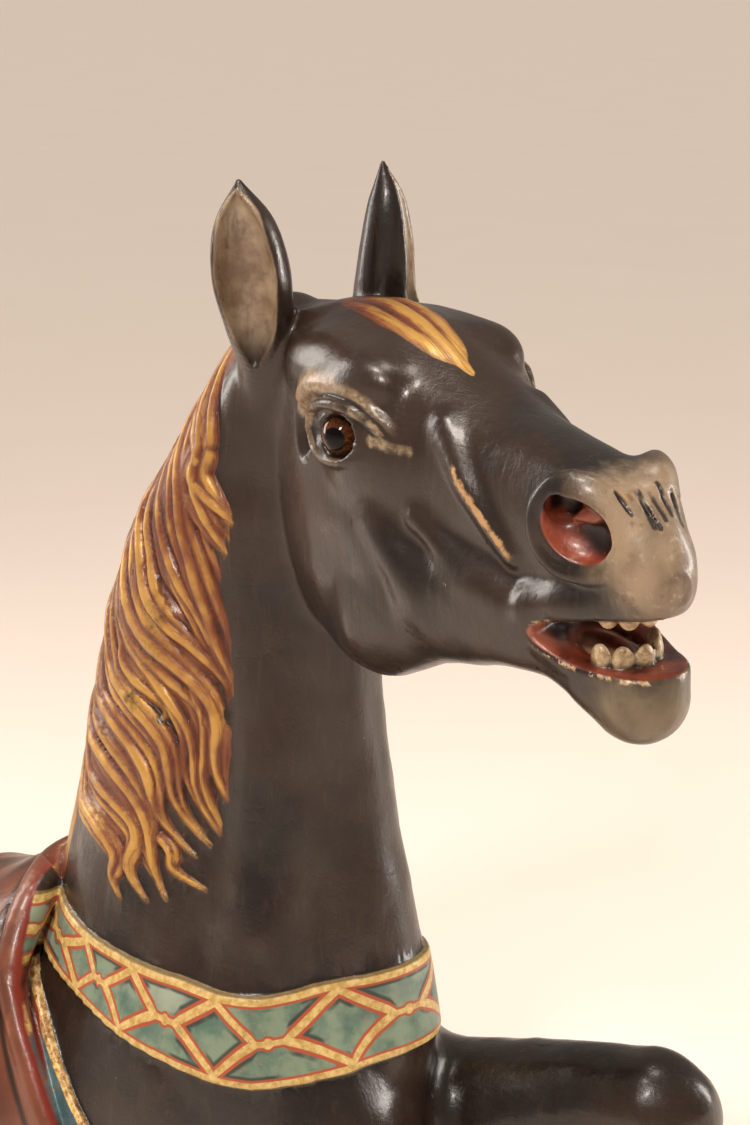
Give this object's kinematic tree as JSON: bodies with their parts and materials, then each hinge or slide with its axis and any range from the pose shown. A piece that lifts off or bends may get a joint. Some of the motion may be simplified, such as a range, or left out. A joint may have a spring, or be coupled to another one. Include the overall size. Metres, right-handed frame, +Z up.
{
  "type": "carousel horse bust",
  "caption": "Bust of a carved, painted carousel horse: turned head, open mouth, glass eyes, wavy gilded mane, breast band, saddle front and raised foreleg, cut flat below and behind.",
  "frame": {"origin": "centre of the overall box in X and Y, on the flat sawn underside in Z", "axes": "+X the way the horse's body faces, +Y the horse's left, +Z up"},
  "size_m": [0.6618, 0.334, 0.7504],
  "materials": {
    "painted_wood": "semi-gloss dark brown lacquer over carved laminated wood, worn at the edges, with gilded mane, painted breast band and brown-red saddle",
    "eye_glass": "polished dark brown glass with a black pupil"
  },
  "bodies": {
    "root": {"carved_horse_bust": "painted_wood", "glass_eye_left": "eye_glass", "glass_eye_right": "eye_glass"}
  },
  "joints": []
}
